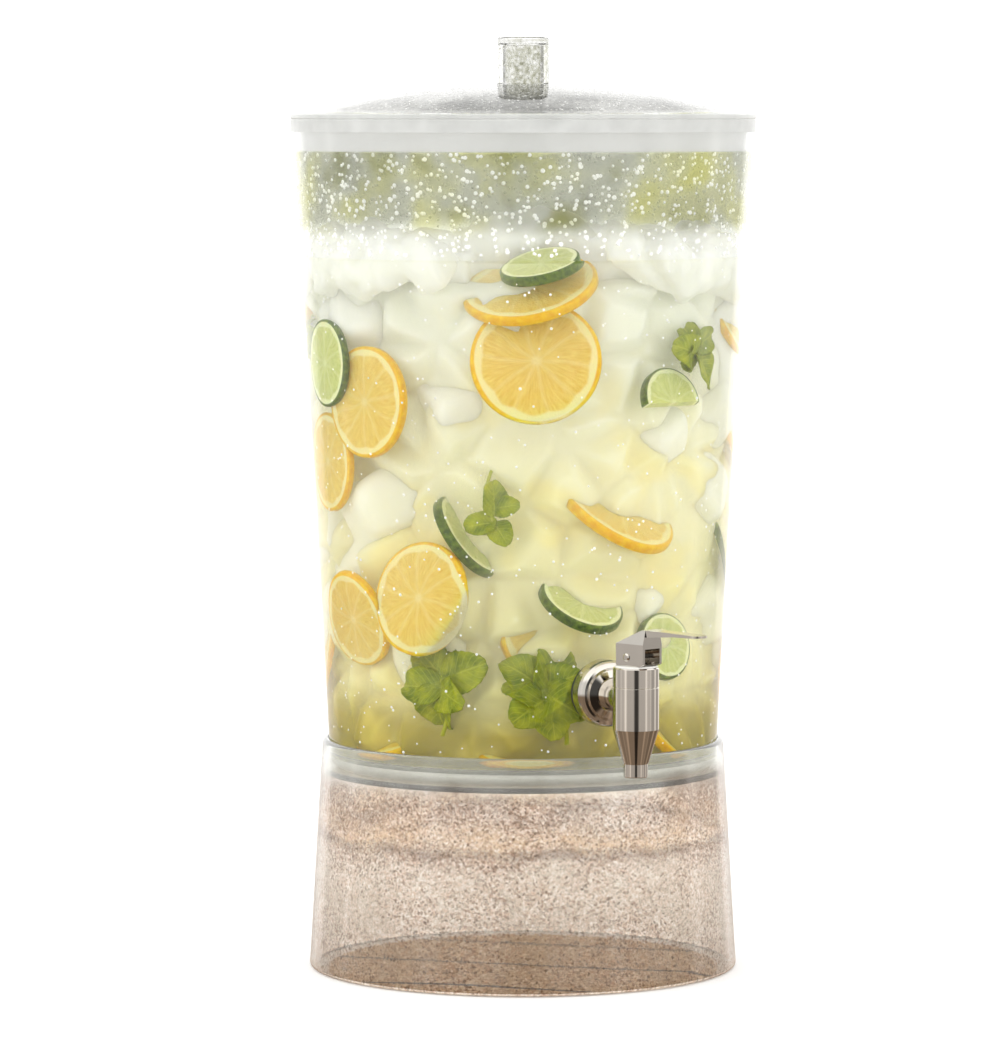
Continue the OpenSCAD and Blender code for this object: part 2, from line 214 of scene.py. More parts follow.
# ---------------- shader graphs
class Graph:
    """A node tree with short calls for the nodes that the materials share."""

    def __init__(self, tree):
        self.tree = tree
        self.coords = None

    @classmethod
    def material(cls, name):
        mat = bpy.data.materials.new(name)
        mat.use_nodes = True
        mat.node_tree.nodes.clear()
        g = cls(mat.node_tree)
        g.mat = mat
        g.bsdf = g.node("ShaderNodeBsdfPrincipled")
        g.out = g.node("ShaderNodeOutputMaterial")
        g.link(g.bsdf.outputs[0], g.out.inputs["Surface"])
        return g

    def node(self, kind):
        return self.tree.nodes.new(kind)

    def link(self, source, target):
        self.tree.links.new(source, target)

    def put(self, socket, value):
        """A number, a colour or another node's output goes into the socket."""
        if isinstance(value, bpy.types.NodeSocket):
            self.link(value, socket)
        elif isinstance(value, (tuple, list)) and len(value) == 3 and socket.type == "RGBA":
            socket.default_value = (*value, 1)
        else:
            socket.default_value = value

    def set(self, name, value):
        self.put(self.bsdf.inputs[name], value)

    def maths(self, operation, a, b=0.0):
        n = self.node("ShaderNodeMath")
        n.operation = operation
        self.put(n.inputs[0], a)
        self.put(n.inputs[1], b)
        return n.outputs[0]

    def add(self, a, b):
        return self.maths("ADD", a, b)

    def take(self, a, b):
        return self.maths("SUBTRACT", a, b)

    def times(self, a, b):
        return self.maths("MULTIPLY", a, b)

    def over(self, a, b):
        return self.maths("DIVIDE", a, b)

    def away(self, a, b):
        """How far a is from b."""
        return self.maths("ABSOLUTE", self.take(a, b))

    def hypot(self, x, y):
        return self.maths("SQRT", self.add(self.times(x, x), self.times(y, y)))

    def split(self, vector):
        n = self.node("ShaderNodeSeparateXYZ")
        self.link(vector, n.inputs[0])
        return n.outputs

    def object_coords(self):
        if self.coords is None:
            self.coords = self.node("ShaderNodeTexCoord").outputs["Object"]
        return self.coords

    def xyz(self):
        return self.split(self.object_coords())

    def fade(self, value, low, high, to_low=0.0, to_high=1.0):
        """Goes smoothly from to_low to to_high as value goes from low to high."""
        n = self.node("ShaderNodeMapRange")
        n.interpolation_type = "SMOOTHSTEP"
        for name, v in (("Value", value), ("From Min", low), ("From Max", high),
                        ("To Min", to_low), ("To Max", to_high)):
            self.put(n.inputs[name], v)
        return n.outputs[0]

    def noise(self, scale, detail=2.0, vector=None):
        n = self.node("ShaderNodeTexNoise")
        self.link(vector or self.object_coords(), n.inputs["Vector"])
        n.inputs["Scale"].default_value = scale
        n.inputs["Detail"].default_value = detail
        return n.outputs["Fac"]

    def blotch(self, scale, height, detail=3):
        """Noise about zero, from -height/2 to height/2."""
        return self.times(self.take(self.noise(scale, detail), 0.5), height)

    def voronoi(self, scale, output):
        n = self.node("ShaderNodeTexVoronoi")
        self.link(self.object_coords(), n.inputs["Vector"])
        n.inputs["Scale"].default_value = scale
        return n.outputs[output]

    def ramp(self, value, stops):
        n = self.node("ShaderNodeValToRGB")
        self.put(n.inputs[0], value)
        while len(n.color_ramp.elements) < len(stops):
            n.color_ramp.elements.new(1.0)
        for element, (position, colour) in zip(n.color_ramp.elements, stops):
            element.position = position
            element.color = (*colour, 1)
        return n.outputs[0]

    def mottle(self, scale, dark, light, detail=3, low=0.3, high=0.7):
        """Two colours that run into each other in patches."""
        return self.ramp(self.noise(scale, detail), [(low, dark), (high, light)])

    def mix(self, share, a, b):
        n = self.node("ShaderNodeMix")
        n.data_type = "RGBA"
        self.put(n.inputs[0], share)
        self.put(n.inputs[6], a)
        self.put(n.inputs[7], b)
        return n.outputs[2]

    def bump(self, height, strength, distance):
        n = self.node("ShaderNodeBump")
        n.inputs["Strength"].default_value = strength
        n.inputs["Distance"].default_value = distance
        self.link(height, n.inputs["Height"])
        if self.bsdf.inputs["Normal"].is_linked:
            self.link(self.bsdf.inputs["Normal"].links[0].from_socket, n.inputs["Normal"])
        self.link(n.outputs[0], self.bsdf.inputs["Normal"])


# ---------------- mesh helpers
def arc(x, y, r, start, end, n=6):
    """Points along an arc, angles in degrees."""
    turns = [radians(start + (end - start) * i / n) for i in range(n + 1)]
    return [(x + r * cos(a), y + r * sin(a)) for a in turns]


def new_object(name, verts, faces, materials):
    mesh = bpy.data.meshes.new(name)
    mesh.from_pydata([tuple(v) for v in verts], [], [tuple(f) for f in faces])
    mesh.polygons.foreach_set("use_smooth", [True] * len(mesh.polygons))
    for material in materials:
        mesh.materials.append(material)
    mesh.update()
    obj = bpy.data.objects.new(name, mesh)
    bpy.context.scene.collection.objects.link(obj)
    return obj


def band(low, high):
    """Quads between two rings of vertex numbers."""
    n = len(low)
    return [(low[k], low[(k + 1) % n], high[(k + 1) % n], high[k]) for k in range(n)]


def revolved(profile, segments):
    """Vertices and faces of a closed outline in (r, z) turned round the Z axis."""
    turns = [tau * k / segments for k in range(segments)]
    verts, rings = [], []
    for r, z in profile:
        if r < 1e-7:
            rings.append([len(verts)] * segments)
            verts.append((0, 0, z))
        else:
            rings.append(list(range(len(verts), len(verts) + segments)))
            verts += [(r * cos(a), r * sin(a), z) for a in turns]
    faces = []
    for i in range(len(profile)):
        low, high = rings[i], rings[(i + 1) % len(profile)]
        if len(set(low)) > 1 or len(set(high)) > 1:
            faces += [tuple(dict.fromkeys(quad)) for quad in band(low, high)]
    return verts, faces


def add_part(verts, faces, part, turn, shift):
    """Adds a part's own vertices and faces to the lists, turned and then moved."""
    base = len(verts)
    verts += [turn @ v + shift for v in part[0]]
    faces += [tuple(i + base for i in f) for f in part[1]]


def face_outward(obj):
    bm = bmesh.new()
    bm.from_mesh(obj.data)
    bmesh.ops.recalc_face_normals(bm, faces=bm.faces)
    bm.to_mesh(obj.data)
    bm.free()


def lathe(name, profile, material, segments=240):
    obj = new_object(name, *revolved(profile, segments), [material])
    face_outward(obj)
    obj.data.set_sharp_from_angle(angle=radians(35))
    return obj


def apply_modifiers(obj):
    graph = bpy.context.evaluated_depsgraph_get()
    mesh = bpy.data.meshes.new_from_object(obj.evaluated_get(graph))
    obj.modifiers.clear()
    obj.data = mesh


def unit_ball(subdivisions):
    bm = bmesh.new()
    bmesh.ops.create_icosphere(bm, subdivisions=subdivisions, radius=1)
    verts = np.array([v.co[:] for v in bm.verts])
    faces = np.array([[v.index for v in f.verts] for f in bm.faces])
    bm.free()
    return verts, faces


def with_bubbles(obj, bubbles, skin):
    """Adds round voids, (centre, radius), inside obj's wall. Their faces look into the void."""
    fine, coarse = unit_ball(2), unit_ball(1)
    source = obj.data
    verts = [np.array([v.co[:] for v in source.vertices])]
    faces = [tuple(p.vertices) for p in source.polygons]
    sharp = {tuple(sorted(e.vertices)) for e in source.edges if e.use_edge_sharp}
    count = len(verts[0])
    for centre, radius in bubbles:
        ball, ball_faces = fine if radius > BIG_BUBBLE_R else coarse
        verts.append(ball * radius + np.array(centre))
        faces += [tuple(int(i) + count for i in reversed(f)) for f in ball_faces]
        count += len(ball)
    mesh = bpy.data.meshes.new(obj.name)
    mesh.from_pydata([tuple(v) for v in np.concatenate(verts)], [], faces)
    mesh.polygons.foreach_set("use_smooth", [True] * len(mesh.polygons))
    for material in (*source.materials, skin):
        mesh.materials.append(material)
    slots = [p.material_index for p in source.polygons]
    slots += [len(source.materials)] * (len(faces) - len(slots))
    mesh.polygons.foreach_set("material_index", slots)
    for e in mesh.edges:
        if tuple(sorted(e.vertices)) in sharp:
            e.use_edge_sharp = True
    mesh.update()
    obj.data = mesh


# ---------------- materials of the dispenser
def lamps_pass(g, tint):
    """Lamps and sky reach what stands behind the clear surface, dimmed by tint."""
    passed = g.node("ShaderNodeBsdfTransparent")
    g.put(passed.inputs["Color"], tint)
    both = g.node("ShaderNodeMixShader")
    g.link(g.node("ShaderNodeLightPath").outputs["Is Shadow Ray"], both.inputs[0])
    g.link(g.bsdf.outputs[0], both.inputs[1])
    g.link(passed.outputs[0], both.inputs[2])
    g.link(both.outputs[0], g.out.inputs["Surface"])


def clear_plastic(name, tint, ior=PLASTIC_IOR):
    """Moulded clear plastic with a faint ripple. tint is a call that makes the colour."""
    g = Graph.material(name)
    g.set("Base Color", tint(g))
    g.set("Transmission Weight", 1.0)
    g.set("IOR", ior)
    g.set("Roughness", 0.015)
    g.bump(g.noise(38), 0.04, 0.002)
    lamps_pass(g, (0.97, 0.97, 0.97))
    return g.mat


def frosted_plastic(name, dark, light):
    """The moulded edges: the tank's rim and foot and the lid's edge scatter light."""
    g = Graph.material(name)
    g.set("Base Color", g.mottle(90, dark, light))
    g.set("Transmission Weight", 0.4)
    g.set("IOR", PLASTIC_IOR)
    g.set("Roughness", 0.35)
    lamps_pass(g, (0.9, 0.9, 0.88))
    return g.mat


def tank_tint(g):
    """Nearly colourless below. Above the drink, in the bubbly band, a mottled grey and olive tint
    paints the lid's shadow and the refracted far wall and room.
    """
    z = g.xyz()[2]
    # painted shade and reflection: the grey-olive band above the drink stands in for the lid's
    # shadow and the refracted room
    above_ice = g.fade(g.add(z, g.blotch(22, 0.012)), DRINK_Z + 9 * MM, DRINK_Z + 21 * MM)
    painted_shade_band = g.times(above_ice, g.fade(z, PLUG_LOW.z + 1 * MM, PLUG_LOW.z - 1 * MM))
    mottle = g.ramp(g.noise(21, 3), [
        (0.34, (0.34, 0.35, 0.17)), (0.44, (0.55, 0.56, 0.51)), (0.53, (0.62, 0.63, 0.55)),
        (0.63, (0.64, 0.64, 0.38))])
    rim = g.fade(z, PLUG_LOW.z - 1 * MM, PLUG_LOW.z + 1 * MM)
    plain = g.mix(rim, (0.975, 0.985, 0.965), (0.87, 0.875, 0.865))
    return g.mix(painted_shade_band, plain, mottle)


def speckle(g, dark, middle, light):
    """The grey speckle of fine bubbles."""
    fine = g.add(g.times(g.noise(420, 3), 0.6), g.times(g.noise(30), 0.4))
    return g.ramp(fine, [(0.40, dark), (0.50, middle), (0.62, light)])


def knob_tint(g):
    return speckle(g, (0.40, 0.40, 0.32), (0.72, 0.72, 0.70), (0.88, 0.88, 0.87))


def lid_tint(g):
    """Speckled over the dome, clear at the edge that rests on the tank."""
    x, y, _ = g.xyz()
    edge = g.fade(g.hypot(x, y), RIM_R - 9 * MM, RIM_R - 4 * MM)
    dome = speckle(g, (0.16, 0.16, 0.15), (0.42, 0.42, 0.405), (0.68, 0.68, 0.67))
    return g.mix(edge, dome, (0.96, 0.96, 0.955))


def ring_plastic():
    """Frosted ring under the lid, brighter than the clear wall in front of it."""
    g = Graph.material("ring_plastic")
    g.set("Base Color", g.mottle(60, (0.86, 0.86, 0.85), (0.92, 0.92, 0.915)))
    g.set("Transmission Weight", 0.45)
    g.set("IOR", PLASTIC_IOR)
    g.set("Roughness", 0.3)
    lamps_pass(g, (0.9, 0.9, 0.9))
    return g.mat


def bubble_skin_painted_glint():
    """The skin of a bubble in the plastic: white, and glowing faintly though it is no lamp, which
    paints the bright glints that the bubbles catch.
    """
    g = Graph.material("bubble_skin_painted_glint")
    g.set("Base Color", g.mottle(300, (0.95, 0.95, 0.93), (0.99, 0.99, 0.98), detail=2))
    g.set("Roughness", 0.6)
    g.set("Specular IOR Level", 0.0)
    # painted glint: the skin glows a little though it is no lamp
    g.set("Emission Color", (1.0, 1.0, 0.98))
    g.set("Emission Strength", 0.3)
    return g.mat


def stand_plastic():
    """Clear plastic crowded with fine bubbles that speckle it grey, beige and brown. Between the
    specks, bands of tone by height paint the reflections and what is seen through the stand.
    """
    g = Graph.material("stand_plastic")
    z = g.xyz()[2]
    tone, other, _ = g.split(g.voronoi(860, "Color"))
    specks = g.ramp(tone, [(0.0, (0.16, 0.11, 0.08)), (0.13, (0.36, 0.26, 0.20)),
                           (0.30, (0.74, 0.56, 0.47)), (0.55, (0.88, 0.83, 0.76)),
                           (1.0, (0.97, 0.96, 0.94))])
    # painted reflection: the tone between the specks, in bands by height, stands in for the
    # surroundings mirrored in and seen through the clear wall
    clear = g.ramp(g.over(g.add(z, g.blotch(16, 0.045)), STAND_HIGH.z), [
        (0.0, (0.66, 0.60, 0.53)), (0.30, (0.75, 0.71, 0.64)), (0.52, (0.76, 0.71, 0.64)),
        (0.58, (0.46, 0.38, 0.32)), (0.65, (0.78, 0.61, 0.43)), (0.76, (0.44, 0.36, 0.30)),
        (0.83, (0.62, 0.58, 0.53)), (0.88, (0.93, 0.94, 0.91))])
    crowd = g.fade(g.add(g.noise(34, 4), g.times(g.take(other, 0.5), 0.5)), 0.28, 0.60, 0.15, 0.85)
    socket = g.fade(z, DECK_LOW.z - 6 * MM, DECK_LOW.z + 1 * MM)
    crowd = g.times(crowd, g.take(1.0, g.times(socket, 0.9)))
    body = g.mix(crowd, clear, specks)
    off_line = g.away(g.add(z, g.times(g.noise(26, 3), 0.010)), STAND_LINE_Z)
    line = g.times(g.fade(off_line, 0.0035, 0.001), g.fade(other, 0.35, 0.55))
    g.set("Base Color", g.mix(g.times(line, 0.35), body, (0.10, 0.08, 0.07)))
    g.set("Transmission Weight", 0.94)
    g.set("IOR", PLASTIC_IOR)
    g.set("Roughness", 0.05)
    g.bump(g.noise(420), 0.03, 0.0005)
    lamps_pass(g, (0.80, 0.74, 0.68))
    return g.mat


def polished_steel(name, roughness, tint=(0.67, 0.63, 0.57)):
    g = Graph.material(name)
    lighter = tuple(c * 1.06 for c in tint)
    g.set("Base Color", g.mottle(60, tint, lighter, detail=4, low=0.35, high=0.75))
    g.set("Metallic", 1.0)
    g.set("Roughness", g.fade(g.noise(240, 3), 0.3, 0.8, roughness, roughness * 1.9))
    return g.mat


def rubber():
    g = Graph.material("rubber")
    g.set("Base Color", g.mottle(400, (0.025, 0.025, 0.025), (0.05, 0.05, 0.048), high=0.8))
    g.set("Roughness", 0.55)
    g.bump(g.noise(1500), 0.2, 0.0001)
    return g.mat


def nylon():
    g = Graph.material("nylon")
    g.set("Base Color", g.mottle(300, (0.86, 0.85, 0.80), (0.93, 0.92, 0.88), high=0.8))
    g.set("Roughness", 0.4)
    return g.mat


# ---------------- clear parts of the dispenser
def side_points(z0, z1, inset, n=26):
    heights = [z0 + (z1 - z0) * i / n for i in range(n + 1)]
    return [(side_r(z) - inset, z) for z in heights]


def tank_profile():
    foot_round, edge_r = 7 * MM, 1 * MM
    ring_r = FOOT_R - 14 * MM
    round_z, fillet_z = FOOT_Z + foot_round, FLOOR_Z + FLOOR_ROUND
    fillet_r = side_r(fillet_z) - TANK_WALL - FLOOR_ROUND
    return (
        [(ring_r, FLOOR_Z - FLOOR_T), (ring_r, FOOT_Z)]
        + arc(side_r(round_z) - foot_round, round_z, foot_round, -90, -5, 10)
        + side_points(round_z, RIM_Z - RIM_BAND, 0)[1:]
        + side_points(RIM_Z - RIM_BAND, RIM_Z - edge_r, 0, 2)[1:]
        + arc(RIM_R - edge_r, RIM_Z - edge_r, edge_r, 15, 90, 5)
        + arc(RIM_R - TANK_WALL + edge_r, RIM_Z - edge_r, edge_r, 90, 165, 5)
        + side_points(RIM_Z - edge_r, RIM_Z - RIM_BAND, TANK_WALL, 2)[1:]
        + side_points(RIM_Z - RIM_BAND, DRINK_Z, TANK_WALL, 6)[1:]
        + side_points(DRINK_Z, fillet_z, TANK_WALL)[1:]
        + arc(fillet_r, fillet_z, FLOOR_ROUND, -5, -90, 8)
        + [(0, FLOOR_Z), (0, FLOOR_Z - FLOOR_T)]
    )


def wall_bubbles(rng, count, z0, z1, middle_r, sizes, spread):
    """Bubbles scattered in a round wall whose middle radius at height z is middle_r(z)."""
    found = []
    for _ in range(count):
        z = rng.uniform(z0, z1)
        a = rng.uniform(0, tau)
        radius = rng.triangular(sizes[0], sizes[1], sizes[0] * 0.8 + sizes[1] * 0.2)
        r = middle_r(z) + rng.uniform(-spread, spread)
        centre = (r * cos(a), r * sin(a), z)
        behind_flange = hypot(centre[0], z - SHANK_Z) < 20 * MM and centre[1] < 0
        if not behind_flange:
            found.append((centre, radius))
    return found


def wall_middle(z):
    return side_r(z) - TANK_WALL / 2


def drill_shank_hole(tank):
    depth = 60 * MM
    drill = new_object("drill", *revolved(
        [(0, 0), (SHANK_HOLE_R, 0), (SHANK_HOLE_R, depth), (0, depth)], 64), [])
    drill.matrix_world = (Matrix.Translation((0, -75 * MM, SHANK_Z))
                          @ Matrix.Rotation(radians(90), 4, "X"))
    face_outward(drill)
    cut = tank.modifiers.new("hole", "BOOLEAN")
    cut.object = drill
    cut.operation = "DIFFERENCE"
    cut.solver = "EXACT"
    bpy.context.view_layer.update()
    apply_modifiers(tank)
    bpy.data.objects.remove(drill)


def make_tank():
    tank = lathe("tank", tank_profile(), clear_plastic("tank_plastic", tank_tint))
    # light goes from plastic to liquid at the wetted faces, so they bend it less than air does
    tank.data.materials.append(clear_plastic("wetted_plastic", tank_tint, PLASTIC_IOR / WATER_IOR))
    tank.data.materials.append(FROSTED_FOOT)
    tank.data.materials.append(FROSTED_RIM)
    for face in tank.data.polygons:
        c = face.center
        if c.z < FLOOR_Z - 1 * MM:
            face.material_index = 2
        elif c.z > RIM_Z - RIM_BAND:
            face.material_index = 3
        elif c.z < DRINK_Z and hypot(c.x, c.y) < wall_middle(c.z):
            face.material_index = 1
    drill_shank_hole(tank)
    rng = random.Random(11)
    bubbles = wall_bubbles(rng, 1900, DRINK_Z + 1 * MM, PLUG_LOW.z - 1 * MM, wall_middle,
                           (0.7 * MM, 1.3 * MM), 0.15 * MM)
    bubbles += wall_bubbles(rng, 1000, FLOOR_Z + 6 * MM, DRINK_Z + 1 * MM, wall_middle,
                            (0.35 * MM, 0.95 * MM), 0.25 * MM)
    with_bubbles(tank, bubbles, BUBBLE_SKIN)
    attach(tank, "tank")
    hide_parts("tank_shell")


def make_stand_shell(material):
    foot_round = 2 * MM
    top_z = STAND_HIGH.z
    top_r = stand_r(top_z)
    steps = 24
    outer = [(stand_r(z), z) for z in
             [foot_round + (top_z - 2 * foot_round) * i / steps for i in range(1, steps)]]
    inner = [(r - STAND_WALL, z) for r, z in reversed(outer)]
    profile = (
        [(STAND_HIGH.x - STAND_WALL, 0)]
        + arc(STAND_HIGH.x - foot_round, foot_round, foot_round, -90, 0, 6)
        + outer
        + arc(top_r - foot_round, top_z - foot_round, foot_round, 0, 90, 6)
        + [(top_r - STAND_WALL, top_z)]
        + inner
    )
    shell = lathe("stand", profile, material)
    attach(shell, "stand")
    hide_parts("stand_shell")


def make_stand_deck(material):
    low_r, high_r = (stand_r(z) - STAND_WALL - 0.02 * MM for z in (DECK_LOW.z, DECK_HIGH.z))
    deck_profile = [(0, DECK_LOW.z), (low_r * 0.5, DECK_LOW.z), (low_r - 0.3 * MM, DECK_LOW.z),
                    (low_r, DECK_LOW.z + 0.3 * MM), (high_r, DECK_HIGH.z - 0.3 * MM),
                    (high_r - 0.3 * MM, DECK_HIGH.z), (high_r * 0.5, DECK_HIGH.z), (0, DECK_HIGH.z)]
    deck = lathe("deck", deck_profile, material)
    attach(deck, "stand")
    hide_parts("stand_deck")


def make_lid_dome():
    steps = 48
    edge_r = RIM_R - 3 * MM
    outside = [(edge_r - (edge_r - KNOB_R) * i / steps) for i in range(steps + 1)]
    inside = [KNOB_TAIL_R + (LEDGE_R - KNOB_TAIL_R) * i / steps for i in range(steps + 1)]
    profile = (
        [(LEDGE_R, RIM_Z)]
        + arc(RIM_R - 0.6 * MM, RIM_Z + 0.6 * MM, 0.6 * MM, -90, 0, 4)
        + arc(RIM_R - 0.8 * MM, LID_EDGE_Z - 0.8 * MM, 0.8 * MM, 0, 75, 5)
        + [(r, crown_z(r)) for r in outside]
        + [(KNOB_TAIL_R, crown_z(KNOB_TAIL_R))]
        + [(r, crown_z(r) - LID_T) for r in inside]
    )
    dome = lathe("lid", profile, clear_plastic("lid_plastic", lid_tint, LID_IOR))
    dome.data.materials.append(FROSTED_RIM)
    for face in dome.data.polygons:
        if hypot(face.center.x, face.center.y) > LEDGE_R and face.center.z < LID_EDGE_Z:
            face.material_index = 1
    rng = random.Random(23)
    bubbles = []
    for _ in range(1500):
        r = LEDGE_R * sqrt(rng.uniform(0.03, 0.95))
        a = rng.uniform(0, tau)
        z = crown_z(r) - LID_T / 2 + rng.uniform(-0.3, 0.3) * MM
        bubbles.append(((r * cos(a), r * sin(a), z), rng.triangular(0.3 * MM, 0.9 * MM, 0.35 * MM)))
    with_bubbles(dome, bubbles, BUBBLE_SKIN)
    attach(dome, "lid")
    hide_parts("lid_dome")


def make_plug_ring():
    ring_profile = (
        [(LEDGE_R, RIM_Z - 0.02 * MM)]
        + arc(LEDGE_R + 0.5 * MM, PLUG_LOW.z + 0.5 * MM, 0.5 * MM, 180, 270, 4)
        + arc(PLUG_HIGH.x - 0.5 * MM, PLUG_LOW.z + 0.5 * MM, 0.5 * MM, -90, 0, 4)
        + [(PLUG_HIGH.x, RIM_Z - 0.02 * MM)]
    )
    ring = lathe("plug_ring", ring_profile, ring_plastic())
    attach(ring, "lid")
    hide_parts("lid_plug_ring")


def make_knob():
    top_round = 1.6 * MM
    roof_z = KNOB_HIGH.z - 3.5 * MM
    profile = (
        [(KNOB_HOLLOW_R, KNOB_LOW.z + 0.3 * MM), (KNOB_HOLLOW_R + 0.3 * MM, KNOB_LOW.z),
         (KNOB_TAIL_R - 0.3 * MM, KNOB_LOW.z), (KNOB_TAIL_R, KNOB_LOW.z + 0.3 * MM),
         (KNOB_TAIL_R, crown_z(KNOB_TAIL_R) - 0.02 * MM), (KNOB_R - 0.3 * MM, crown_z(KNOB_R)),
         (KNOB_R, crown_z(KNOB_R) + 0.3 * MM)]
        + arc(KNOB_R - top_round, KNOB_HIGH.z - top_round, top_round, 0, 90, 8)
        + [(KNOB_R * 0.4, KNOB_HIGH.z), (0, KNOB_HIGH.z)]
        + [(0, roof_z), (KNOB_HOLLOW_R * 0.4, roof_z)]
        + arc(KNOB_HOLLOW_R - top_round, roof_z - top_round, top_round, 90, 0, 8)
    )
    knob = lathe("knob", profile, clear_plastic("knob_plastic", knob_tint), segments=128)
    rng = random.Random(5)
    bubbles = wall_bubbles(rng, 120, KNOB_LOW.z + 20 * MM, KNOB_HIGH.z - 3 * MM,
                           lambda z: (KNOB_HOLLOW_R + KNOB_R) / 2,
                           (0.3 * MM, 0.8 * MM), 0.6 * MM)
    with_bubbles(knob, [b for b in bubbles if b[0][2] > crown_z(0) + 2 * MM], BUBBLE_SKIN)
    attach(knob, "lid")
    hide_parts("lid_knob")


def finish_tap():
    """Materials for the tap's pieces, whose shapes the CAD nodes hold."""
    steel = polished_steel("polished_steel", 0.055)
    wire = polished_steel("spring_wire", 0.2, (0.66, 0.66, 0.65))
    black, white = rubber(), nylon()
    finishes = {
        steel: ["tap_flange", "inner_washer", "lock_nut", "tap_shank", "tap_body", "tap_bonnet",
                "valve_stem", "spring_seat", "pivot_pin", "lever"],
        wire: ["valve_spring"],
        black: ["outer_gasket", "inner_gasket", "bonnet_oring", "stem_seal", "valve_plug"],
        white: ["thrust_washer"],
    }
    for material, names in finishes.items():
        for name in names:
            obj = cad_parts[name]
            obj.data.materials.clear()
            obj.data.materials.append(material)


def make_spring():
    """The valve spring wound as one round wire with closed ends."""
    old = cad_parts["valve_spring"]
    material = old.data.materials[0]
    middle = (SPRING_LOW + SPRING_HIGH) / 2
    wire = SPRING_WIRE_R
    coil_r = (SPRING_HIGH.x - SPRING_LOW.x) / 2 - wire
    low, high = SPRING_LOW.z + wire, SPRING_HIGH.z - wire
    turns, around, sides, ends = 8, 40, 12, 1
    steps = turns * around
    rise = (high - low - 2 * ends * 2 * wire * 1.02) / (turns - 2 * ends)
    points, z = [], low
    for i in range(steps + 1):
        points.append(z)
        t = i / around
        z += (2 * wire * 1.02 if t < ends or t >= turns - ends else rise) / around
    scale = (high - low) / (points[-1] - low)
    verts, faces = [], []
    for i, z in enumerate(points):
        a = tau * i / around
        out = Vector((cos(a), sin(a), 0))
        centre = Vector((middle.x, middle.y, low + (z - low) * scale)) + out * coil_r
        for k in range(sides):
            b = tau * k / sides
            verts.append(centre + out * (wire * cos(b)) + Vector((0, 0, wire * sin(b))))
    rings = [range(i * sides, (i + 1) * sides) for i in range(steps + 1)]
    for low_ring, high_ring in zip(rings, rings[1:]):
        faces += band(high_ring, low_ring)
    faces += [tuple(rings[0]), tuple(reversed(rings[-1]))]
    spring = new_object("spring", verts, faces, [material])
    face_outward(spring)
    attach(spring, "tank")
    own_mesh(spring)
    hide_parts("valve_spring")


# ---------------- materials of the drink
LEMON = {"flesh": [(0.75, 0.52, 0.09), (0.86, 0.68, 0.20)], "pith": (0.90, 0.79, 0.42),
         "rind": [(0.80, 0.43, 0.015), (0.90, 0.60, 0.04)]}
LIME = {"flesh": [(0.50, 0.56, 0.16), (0.70, 0.73, 0.32)], "pith": (0.82, 0.85, 0.55),
        "rind": [(0.03, 0.075, 0.004), (0.15, 0.23, 0.02)]}
SEGMENTS = 10


def citrus(name, colours):
    """Cut fruit in its own coordinates: the cut face is z, and the rind lies at radius 1."""
    g = Graph.material(name)
    x, y, _ = g.xyz()
    radius = g.hypot(x, y)
    turn = g.over(g.maths("ARCTAN2", y, x), tau)
    wobble = g.times(g.noise(0.9, 1), 0.10)
    share = g.maths("FRACT", g.times(g.add(turn, g.add(wobble, 1.0)), float(SEGMENTS)))
    off = g.take(0.5, g.away(share, 0.5))
    width = g.times(off, g.times(radius, tau / SEGMENTS))
    inside = g.fade(width, 0.0, 0.06, 0.74, 1.0)
    outer = g.fade(g.add(radius, g.times(off, -0.10)), 0.84, 0.78)
    core = g.fade(radius, 0.03, 0.12, 0.5, 1.0)
    flesh = g.times(g.times(inside, outer), core)
    fibres = g.node("ShaderNodeCombineXYZ")
    g.link(g.times(share, 9.0), fibres.inputs[0])
    g.link(g.times(radius, 3.5), fibres.inputs[1])
    g.link(g.maths("FLOOR", g.times(g.add(turn, 1.0), float(SEGMENTS))), fibres.inputs[2])
    dark, light = colours["flesh"]
    flesh_colour = g.ramp(g.noise(1.6, 3, fibres.outputs[0]), [(0.3, dark), (0.7, light)])
    skin = g.mottle(9, *colours["rind"], detail=4, low=0.35)
    is_skin = g.fade(radius, 0.925, 0.955)
    base = g.mix(flesh, colours["pith"], flesh_colour)
    g.set("Base Color", g.mix(is_skin, base, skin))
    g.set("Roughness", 0.3)
    g.set("Subsurface Weight", 0.8)
    g.set("Subsurface Radius", (0.008, 0.006, 0.002))
    g.set("Subsurface Scale", 1.0)
    g.bump(g.voronoi(26, "Distance"), 0.15, 0.01)
    return g.mat


def mint_leaf_green():
    g = Graph.material("mint_leaf")
    uv = g.node("ShaderNodeTexCoord").outputs["UV"]
    along, across, _ = g.split(uv)
    side = g.away(across, 0.5)
    slant = g.take(g.times(along, 8.0), g.times(side, 5.0))
    rib = g.away(g.maths("FRACT", slant), 0.5)
    vein = g.maths("MAXIMUM", g.fade(side, 0.035, 0.012), g.fade(rib, 0.08, 0.02))
    blade = g.mottle(160, (0.13, 0.20, 0.003), (0.42, 0.45, 0.012))
    g.set("Base Color", g.mix(g.times(vein, 0.45), blade, (0.62, 0.64, 0.08)))
    g.set("Roughness", 0.38)
    g.set("Subsurface Weight", 0.3)
    g.set("Subsurface Radius", (0.002, 0.003, 0.001))
    g.bump(vein, 0.4, 0.0005)
    return g.mat


